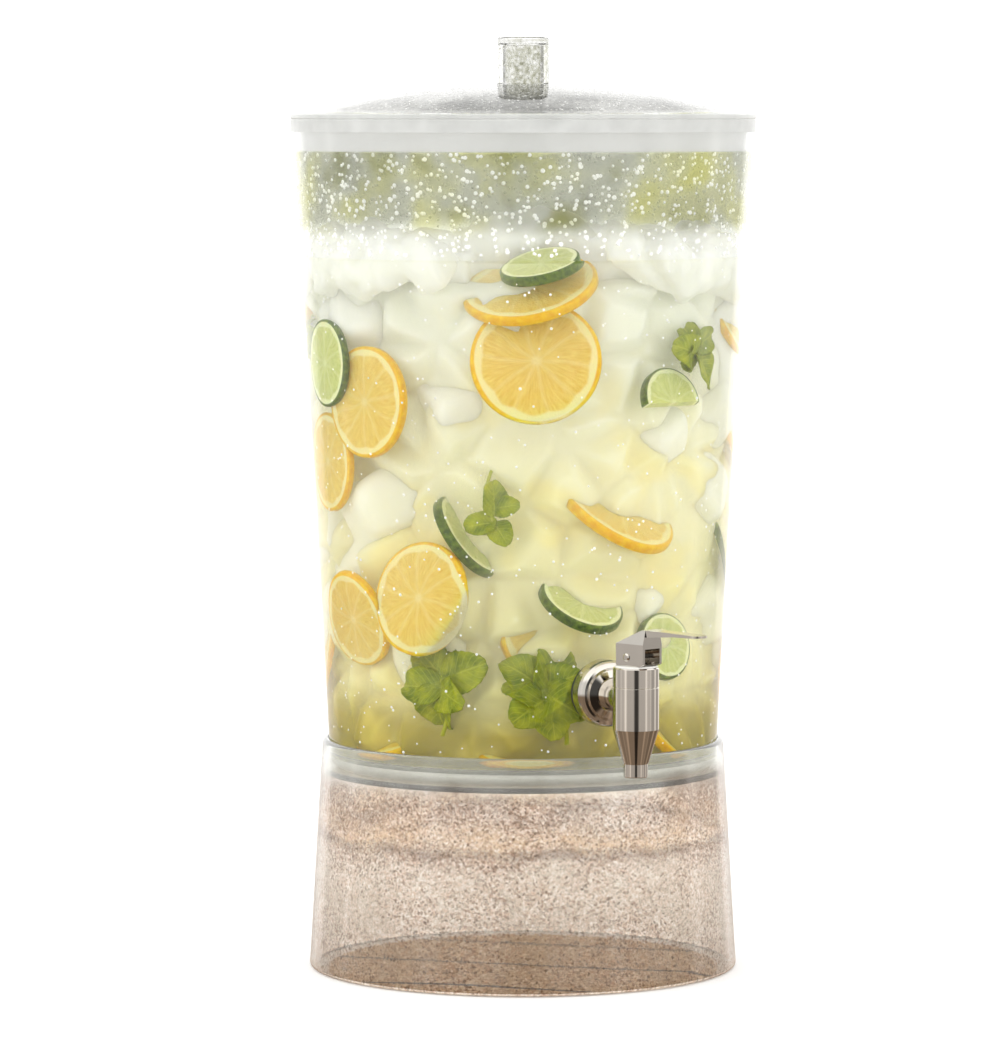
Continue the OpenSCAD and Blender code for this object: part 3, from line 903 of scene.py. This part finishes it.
def cloudy_ice(name, top, middle, low, bottom, gold=0.0):
    """Ice and pulp seen through the drink: paler above, yellow and olive below, with golden patches
    lower down painted as a glow. A faint emission makes them glow though they are no lamp: painted
    light.
    """
    g = Graph.material(name)
    z = g.xyz()[2]
    height = g.over(g.take(z, FLOOR_Z), DRINK_Z - FLOOR_Z)
    layers = g.ramp(g.add(height, g.blotch(13, 0.16)), [
        (0.03, bottom), (0.08, tuple(c * 1.25 for c in bottom)), (0.15, low), (0.50, middle),
        (0.86, top)])
    # painted glow: golden patches lower down, as if light shone through
    glow = g.times(g.fade(g.noise(24), 0.50, 0.68), g.fade(height, 0.95, 0.55))
    g.set("Base Color", g.mix(g.times(glow, gold), layers, (0.93, 0.80, 0.28)))
    g.set("Roughness", 0.35)
    g.set("Subsurface Weight", 1.0)
    g.set("Subsurface Radius", (0.010, 0.010, 0.009))
    g.set("Subsurface Scale", 1.0)
    # painted light: a faint glow though ice and pulp are no lamp
    g.set("Emission Color", (1.0, 0.99, 0.92))
    g.set("Emission Strength", 0.08)
    return g.mat


def drink_liquid():
    g = Graph.material("drink_liquid")
    z = g.xyz()[2]
    low = g.fade(g.add(z, g.blotch(30, 0.03, 2)), FLOOR_Z + 45 * MM, FLOOR_Z + 11 * MM)
    g.set("Base Color", g.mix(low, (0.985, 0.985, 0.94), (0.97, 0.93, 0.46)))
    g.set("Transmission Weight", 1.0)
    g.set("IOR", 1.0)
    g.set("Roughness", 0.0)
    g.bump(g.noise(60, 1), 0.05, 0.002)
    lamps_pass(g, (0.98, 0.98, 0.95))
    haze = g.node("ShaderNodeVolumeScatter")
    haze.inputs["Color"].default_value = (0.995, 0.985, 0.88, 1)
    haze.inputs["Density"].default_value = 9
    g.link(haze.outputs[0], g.out.inputs["Volume"])
    return g.mat


# ---------------- the drink, its ice and fruit
def press_inside(obj):
    """Keeps every vertex inside the tank's inner wall, above its floor and clear of the shank."""
    back = obj.matrix_world.inverted()
    clear_r = (NUT_HIGH.z - NUT_LOW.z) / 2 + 2 * MM
    for v in obj.data.vertices:
        p = obj.matrix_world @ v.co
        off = hypot(p.x, p.z - SHANK_Z)
        if p.y < SHANK_HIGH.y + 2 * MM and 0 < off < clear_r:
            p.x, p.z = p.x * clear_r / off, SHANK_Z + (p.z - SHANK_Z) * clear_r / off
        p.z = max(p.z, FLOOR_Z + 0.8 * MM)
        most = side_r(p.z) - TANK_WALL - 0.7 * MM
        near_floor = max(0.0, 1 - (p.z - FLOOR_Z) / FLOOR_ROUND)
        most -= FLOOR_ROUND * near_floor**2
        r = hypot(p.x, p.y)
        if r > most:
            p.x, p.y = p.x * most / r, p.y * most / r
        v.co = back @ p
    obj.data.update()


def put_inside(obj, bearing, z, r, face, spin=0.0):
    """Places obj in the tank. bearing is degrees to the right of the camera's azimuth, r the
    distance from the tank's axis, and face the direction of obj's own +Z as (right, up, out)."""
    a = radians(CAMERA_AZIMUTH + bearing)
    out = Vector((sin(a), -cos(a), 0))
    right = Vector((cos(a), sin(a), 0))
    up = Vector((0, 0, 1))
    normal = (right * face[0] + up * face[1] + out * face[2]).normalized()
    sideways = (up if abs(normal.z) < 0.95 else out).cross(normal).normalized()
    turn = Matrix((sideways, normal.cross(sideways), normal)).transposed().to_4x4()
    obj.matrix_world = (Matrix.Translation(out * r + up * z) @ turn
                        @ Matrix.Rotation(radians(spin), 4, "Z") @ obj.matrix_world)
    press_inside(obj)
    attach(obj, "tank")


def citrus_slice(name, radius, thick, material, sector=360):
    """A slice, or a part of one, in units of its radius. Its segments bulge between membranes."""
    radii = [0.0, 0.05, 0.12, 0.25, 0.4, 0.55, 0.68, 0.76, 0.82, 0.90, 0.955, 0.985, 1.0]
    whole = sector == 360
    steps = round(sector / 3)
    half = thick / radius / 2
    columns = steps if whole else steps + 1
    verts, index = [], {}
    for side in (1, -1):
        for i, r in enumerate(radii):
            for k in range(columns):
                a = radians(sector * k / steps)
                share = (a / tau * SEGMENTS) % 1
                swell = sin(pi * share) ** 0.5 * max(0, 1 - abs(r - 0.45) / 0.34) ** 0.5
                edge = 1 - max(0, (r - 0.955) / 0.045) ** 2 * 0.35
                z = side * half * (edge + 0.12 * swell)
                index[side, i, k] = len(verts)
                verts.append((r * cos(a), r * sin(a), z))
    faces = []
    last = len(radii) - 1
    for side in (1, -1):
        for i in range(last):
            for k in range(steps):
                m = (k + 1) % columns
                quad = [index[side, i, k], index[side, i + 1, k], index[side, i + 1, m],
                        index[side, i, m]]
                faces.append(quad if side == 1 else quad[::-1])
    for k in range(steps):
        m = (k + 1) % columns
        faces.append([index[1, last, k], index[-1, last, k], index[-1, last, m], index[1, last, m]])
    if not whole:
        for k, flip in ((0, False), (steps, True)):
            for i in range(last):
                quad = [index[1, i, k], index[-1, i, k], index[-1, i + 1, k], index[1, i + 1, k]]
                faces.append(quad[::-1] if flip else quad)
    obj = new_object(name, verts, faces, [material])
    bm = bmesh.new()
    bm.from_mesh(obj.data)
    bmesh.ops.remove_doubles(bm, verts=bm.verts, dist=1e-5)
    bm.to_mesh(obj.data)
    bm.free()
    face_outward(obj)
    obj.data.set_sharp_from_angle(angle=radians(50))
    obj.matrix_world = Matrix.Diagonal((radius, radius, radius, 1))
    return obj


def leaf_arrays(length, width, curl, fold, rng):
    """Vertices, faces and UVs of one toothed, quilted leaf along +X with its face up."""
    n, m = 28, 9
    phase = rng.uniform(0, tau)
    verts, uvs = [], []
    for i in range(n + 1):
        t = i / n
        shape = sin(pi * (t * 0.94 + 0.03) ** 0.80) ** 0.62
        tooth = 1 - 0.07 * (t * 8 % 1) * (t < 0.97)
        bend = curl * t
        for j in range(-m, m + 1):
            s = j / m
            half = width / 2 * shape * (1 + (tooth - 1) * abs(s) ** 3)
            rib = abs((t * 6 - abs(s) * 1.8) % 1 - 0.5)
            quilt = 0.07 * width * (rib - 0.25) * sin(pi * min(1, abs(s) * 1.1))
            wave = 0.10 * width * sin(t * 7 + 2.2 * s + phase) * abs(s) ** 1.5
            x = length * (sin(bend) / curl)
            z = length * ((cos(bend) - 1) / curl)
            up = Vector((sin(bend), 0, cos(bend)))
            verts.append(Vector((x, half * s, z)) + up * (fold * abs(s) * half + quilt + wave))
            uvs.append((t, s / 2 + 0.5))
    columns = 2 * m + 1
    faces = [(i * columns + j, i * columns + j + 1, (i + 1) * columns + j + 1,
              (i + 1) * columns + j) for i in range(n) for j in range(2 * m)]
    return verts, faces, uvs


def mint_sprig(name, seed, leaves, size, material):
    """Leaves in turn round a short stem that points down -Y."""
    rng = random.Random(seed)
    stem = 30 * MM
    verts, faces, uvs = [], [], []
    for k in range(leaves):
        length = size * rng.uniform(0.75, 1.1)
        part = leaf_arrays(length, length * rng.uniform(0.78, 0.98), rng.uniform(0.5, 1.6),
                           rng.uniform(0.05, 0.45), rng)
        around = tau * (k * 0.382 + rng.uniform(-0.05, 0.05))
        rise = rng.uniform(0.0, 1.0)
        turn = (Matrix.Rotation(around, 4, "Z") @ Matrix.Rotation(-rise, 4, "Y")
                @ Matrix.Rotation(rng.uniform(-0.5, 0.5), 4, "X"))
        start = Vector((0, -stem * 0.25 * (k // 2) / max(1, leaves // 2), 0))
        add_part(verts, faces, part, turn, start)
        uvs += part[2]
    steps, sides, thick = 10, 8, size * 0.035
    rings = []
    for i in range(steps + 1):
        t = i / steps
        centre = Vector((0.12 * stem * sin(t * 3), -stem * t, -0.1 * stem * t * t))
        rings.append(range(len(verts), len(verts) + sides))
        for k in range(sides):
            a = tau * k / sides
            verts.append(centre + Vector((thick * cos(a), 0, thick * sin(a))))
            uvs.append((t, 0.5))
    for low, high in zip(rings, rings[1:]):
        faces += band(low, high)
    obj = new_object(name, verts, faces, [material])
    layer = obj.data.uv_layers.new(name="leaf")
    for loop in obj.data.loops:
        layer.data[loop.index].uv = uvs[loop.vertex_index]
    solid = obj.modifiers.new("thickness", "SOLIDIFY")
    solid.thickness = 0.5 * MM
    solid.offset = 0
    apply_modifiers(obj)
    return obj


def ice_lump(rng, size):
    """Vertices and faces of one half-melted cube round the origin."""
    bm = bmesh.new()
    bmesh.ops.create_cube(bm, size=2)
    bmesh.ops.subdivide_edges(bm, edges=bm.edges, cuts=6, use_grid_fill=True)
    stretch = Vector((rng.uniform(0.8, 1.1), rng.uniform(0.8, 1.1), rng.uniform(0.75, 1.05)))
    shift = Vector((rng.uniform(0, 50), rng.uniform(0, 50), rng.uniform(0, 50)))
    power = 5.0
    verts = []
    for v in bm.verts:
        p = v.co.copy()
        norm = sum(abs(c) ** power for c in p) ** (1 / power)
        p = p / norm
        dent = mathutils.noise.noise(p * 1.1 + shift) * 0.13
        verts.append(Vector(a * b for a, b in zip(p, stretch)) * (1 + dent) * size / 2)
    faces = [tuple(v.index for v in f.verts) for f in bm.faces]
    bm.free()
    return verts, faces


def behind_fruit(bearing, z, r, size):
    """The distance from the axis at which a lump of ice stays behind the front slices."""
    for _, _, b, height, deep, radius, face, _, _ in FRONT_SLICES:
        across = abs((bearing - b + 180) % 360 - 180) * pi / 180 * deep * MM
        tall = radius * MM * sqrt(max(0.1, 1 - face[1] ** 2))
        slant = radius * MM * sqrt(max(0.0, 1 - face[2] ** 2)) * 0.6
        if across < radius * MM + size * 0.35 and abs(z - height * MM) < tall + size * 0.4:
            r = min(r, deep * MM - slant - size * 0.5 - 2 * MM)
    return max(r, 10 * MM)


def ice_heap(name, seed, spots, material, voxel):
    """Half-melted cubes frozen into one mass. spots are (bearing, z, r, size)."""
    rng = random.Random(seed)
    verts, faces = [], []
    for bearing, z, r, size in spots:
        a = radians(CAMERA_AZIMUTH + bearing)
        r = behind_fruit(bearing, z, r, size)
        centre = Vector((r * sin(a), -r * cos(a), z))
        turn = Euler([rng.uniform(0, tau) for _ in range(3)]).to_matrix()
        add_part(verts, faces, ice_lump(rng, size), turn, centre)
    obj = new_object(name, verts, faces, [material])
    fuse = obj.modifiers.new("fuse", "REMESH")
    fuse.mode = "VOXEL"
    fuse.voxel_size = voxel
    fuse.use_smooth_shade = True
    melt = obj.modifiers.new("melt", "SMOOTH")
    melt.factor = 0.6
    melt.iterations = 6
    apply_modifiers(obj)
    press_inside(obj)
    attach(obj, "tank")


def make_cloudy_core(material):
    """The crowded middle of the drink: ice, pulp and fruit lost in the haze, as one lumpy mass."""
    around, levels = 240, 150
    low_z, high_z = FLOOR_Z + 1.2 * MM, DRINK_Z - 5 * MM
    verts, rings = [], []
    for i in range(levels + 1):
        t = i / levels
        z = low_z + (high_z - low_z) * t
        end = max(0.0, 1 - min(t / 0.015, (1 - t) / 0.05))
        fill = 0.80 + 0.11 * max(0.0, 1 - (z - low_z) / (34 * MM)) ** 0.7
        base = (side_r(z) - TANK_WALL) * fill * sqrt(max(0.0, 1 - end**2))
        rings.append(range(len(verts), len(verts) + around))
        for k in range(around):
            a = tau * k / around
            p = Vector((cos(a) * 0.08, sin(a) * 0.08, z))
            near = mathutils.noise.voronoi(p / (30 * MM))[0]
            pillow = min(1.0, max(0.0, (near[1] - near[0]) / 0.5))
            lump = 9 * MM * (pillow * pillow * (3 - 2 * pillow) - 0.5)
            lump += 5 * MM * mathutils.noise.noise(p / (55 * MM))
            r = max(0.0005, base + lump * min(1, base / 0.03))
            verts.append((r * cos(a), r * sin(a), z))
    faces = [tuple(reversed(rings[0])), tuple(rings[-1])]
    for low, high in zip(rings, rings[1:]):
        faces += band(low, high)
    core = new_object("cloudy_core", verts, faces, [material])
    face_outward(core)
    press_inside(core)
    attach(core, "tank")


def make_drink():
    floor_round = FLOOR_ROUND - DRINK_GAP
    fillet_z = FLOOR_Z + DRINK_GAP + floor_round
    inset = TANK_WALL + DRINK_GAP
    fillet_r = side_r(fillet_z) - inset - floor_round
    top_r = side_r(DRINK_Z) - inset
    profile = (
        [(0, FLOOR_Z + DRINK_GAP)]
        + arc(fillet_r, fillet_z, floor_round, -90, -5, 8)
        + side_points(fillet_z, DRINK_Z, inset, 60)[1:]
        + [(top_r - 1 * MM, DRINK_Z - 0.9 * MM), (top_r - 3 * MM, DRINK_Z - 1.4 * MM),
           (0, DRINK_Z - 1.5 * MM)]
    )
    drink = lathe("drink", profile, drink_liquid())
    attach(drink, "tank")


FRONT_SLICES = [
    # name, kind, bearing, height mm, distance from the axis mm, radius mm, face, spin, sector
    ("lemon_a", "lemon", 3.7, 326, 101, 33, (-0.04, 0.34, 0.94), 15, 360),
    ("lemon_b", "lemon", 2.5, 363, 82, 33, (-0.20, 0.86, 0.46), 0, 360),
    ("lime_a", "lime", 6, 374.5, 88, 20.5, (-0.24, 0.92, 0.28), 0, 360),
    ("lime_b", "lime", 25, 335, 80, 28, (0.20, 0.10, 0.97), 40, 360),
    ("lime_c", "lime", -68, 323, 104, 23, (-0.02, 0.02, 1.0), 0, 360),
    ("lemon_c", "lemon", -50, 304, 100, 29, (-0.05, 0.05, 1.0), 70, 360),
    ("lemon_d", "lemon", -72, 271, 98, 26, (0.0, 0.0, 1.0), 30, 360),
    ("lime_d", "lime", 47, 303, 100, 20, (0.05, 0.40, 0.91), 0, 180),
    ("lemon_e", "lemon", 35, 247, 76, 33, (0.28, 0.80, 0.53), 0, 360),
    ("lime_e", "lime", -20, 235, 77, 24, (0.82, 0.56, 0.10), 0, 360),
    ("lemon_f", "lemon", -31.5, 203, 97, 30, (-0.24, 0.22, 0.94), 10, 360),
    ("lemon_g", "lemon", -62, 190, 92, 26, (0.05, -0.35, 0.94), 0, 360),
    ("lime_f", "lime", 20, 200, 82, 22, (0.25, 0.80, 0.54), 0, 360),
    ("lemon_h", "lemon", 12, 186, 74, 28, (0.10, 0.1, 1.0), 0, 360),
    ("lime_g", "lime", 52, 176, 86, 18, (0.0, 0.3, 0.95), 0, 360),
    ("lemon_i", "lemon", -52, 131, 70, 28, (-0.10, 0.86, 0.50), 0, 360),
    ("lemon_j", "lemon", 0, 129, 68, 30, (0.08, 0.86, 0.50), 0, 360),
    ("lemon_k", "lemon", 55, 134, 72, 26, (0.45, 0.70, 0.55), 0, 360),
]
FRONT_MINT = [
    # name, bearing, height mm, distance from the axis mm, leaf mm, leaves, face, spin
    ("mint_a", -26, 162, 90, 26, 7, (0.0, 0.2, 0.98), 0),
    ("mint_b", 7, 156, 88, 30, 9, (0.0, 0.3, 0.95), 20),
    ("mint_c", -9, 243, 92, 18, 5, (0.1, 0.2, 0.97), 180),
    ("mint_d", 58, 328, 98, 20, 6, (0.0, 0.2, 0.98), 180),
]


def make_front_fruit(fruit, leaf):
    for name, kind, bearing, z, r, radius, face, spin, sector in FRONT_SLICES:
        obj = citrus_slice(name, radius * MM, 5.5 * MM, fruit[kind], sector)
        put_inside(obj, bearing, z * MM, r * MM, face, spin)
    for name, bearing, z, r, size, leaves, face, spin in FRONT_MINT:
        obj = mint_sprig(name, len(name) + round(z), leaves, size * MM, leaf)
        put_inside(obj, bearing, z * MM, r * MM, face, spin)


def make_back_fruit(fruit, leaf):
    """Rows of slices round the back and the sides, and five sprigs among them."""
    rng = random.Random(41)
    for row, z in enumerate((345, 285, 225, 165)):
        for k in range(5):
            kind = "lime" if (row + k) % 3 == 2 else "lemon"
            bearing = 98 + 34 * k + (17 if row % 2 else 0) + rng.uniform(-4, 4)
            radius = rng.uniform(20, 24) if kind == "lime" else rng.uniform(27, 32)
            face = (rng.uniform(-0.5, 0.5), rng.uniform(-0.2, 0.8), 0.9)
            obj = citrus_slice(f"back_{kind}_{row}_{k}", radius * MM, 5.5 * MM, fruit[kind])
            reach = (side_r(z * MM) - TANK_WALL) / MM - 0.5 * radius * abs(face[1]) - 6
            depth = radius**2 / (2 * reach)
            put_inside(obj, bearing, (z + rng.uniform(-10, 10)) * MM, (reach - depth) * MM, face,
                       rng.uniform(0, 90))
    for k, (bearing, z) in enumerate(((120, 315), (165, 195), (205, 255), (235, 150), (255, 330))):
        obj = mint_sprig(f"back_mint_{k}", 70 + k, 6, 24 * MM, leaf)
        put_inside(obj, bearing, z * MM, 92 * MM, (0, 0.2, 0.98), 60 * k)


def make_ice(snow):
    """A bed of lumps afloat at the top, a dozen that rise above it in front, and sunken ones."""
    afloat, at_wall, sunk = 230, 110, 42
    rng = random.Random(7)
    top_spots = []
    for k in range(afloat):
        size = rng.uniform(14, 25) * MM
        z = DRINK_Z + rng.uniform(-13, 5) * MM
        most = side_r(z) - TANK_WALL - size * 0.62
        r = most if k < at_wall else most * sqrt(rng.uniform(0.02, 0.9))
        bearing = k * 360 / at_wall if k < at_wall else rng.uniform(0, 360)
        top_spots.append((bearing, z, r, size))
    for bearing, z, r, size in ((-24, 382, 62, 28), (-8, 384, 52, 30), (10, 385, 50, 30),
                                (26, 386, 60, 30), (44, 382, 72, 28), (-42, 380, 74, 28),
                                (20, 386, 96, 24), (32, 385, 98, 22), (8, 383, 90, 24),
                                (-25, 384, 98, 24), (-38, 382, 99, 20), (47, 380, 100, 22)):
        top_spots.append((bearing, z * MM, r * MM, size * MM))
    ice_heap("ice_top", 8, top_spots, snow, 1.6 * MM)
    low_spots = []
    for _ in range(sunk):
        z = rng.uniform(160, 352) * MM
        r = side_r(z) - TANK_WALL - rng.uniform(29, 36) * MM
        low_spots.append((rng.uniform(0, 360), z, r, rng.uniform(34, 44) * MM))
    ice_heap("ice_sunk", 9, low_spots, snow, 2.0 * MM)


def make_contents():
    fruit = {"lemon": citrus("lemon", LEMON), "lime": citrus("lime", LIME)}
    leaf = mint_leaf_green()
    make_front_fruit(fruit, leaf)
    make_back_fruit(fruit, leaf)
    make_cloudy_core(cloudy_ice("cloudy_core", (0.84, 0.85, 0.76), (0.88, 0.83, 0.52),
                                (0.82, 0.76, 0.38), (0.33, 0.26, 0.0), gold=0.6))
    make_ice(cloudy_ice("ice", (0.88, 0.88, 0.84), (0.93, 0.91, 0.76),
                        (0.90, 0.88, 0.66), (0.74, 0.66, 0.30)))
    make_drink()


make_camera()
make_world()
make_lamp("key_lamp", -75, 0.9, 1.8, (0.7, 1.4), 8)
make_lamp("fill_lamp", 35, 0.7, 2.0, (0.6, 1.2), 8)
make_floor()
BUBBLE_SKIN = bubble_skin_painted_glint()
FROSTED_FOOT = frosted_plastic("frosted_foot", (0.77, 0.79, 0.74), (0.87, 0.88, 0.85))
FROSTED_RIM = frosted_plastic("frosted_rim", (0.60, 0.605, 0.59), (0.70, 0.705, 0.69))
make_tank()
stand_material = stand_plastic()
make_stand_shell(stand_material)
make_stand_deck(stand_material)
make_lid_dome()
make_plug_ring()
make_knob()
finish_tap()
make_spring()
make_contents()

bpy.context.scene.view_settings.view_transform = "Standard"
bpy.context.scene.cycles.max_bounces = 20
bpy.context.scene.cycles.transmission_bounces = 20
bpy.context.scene.cycles.volume_bounces = 6
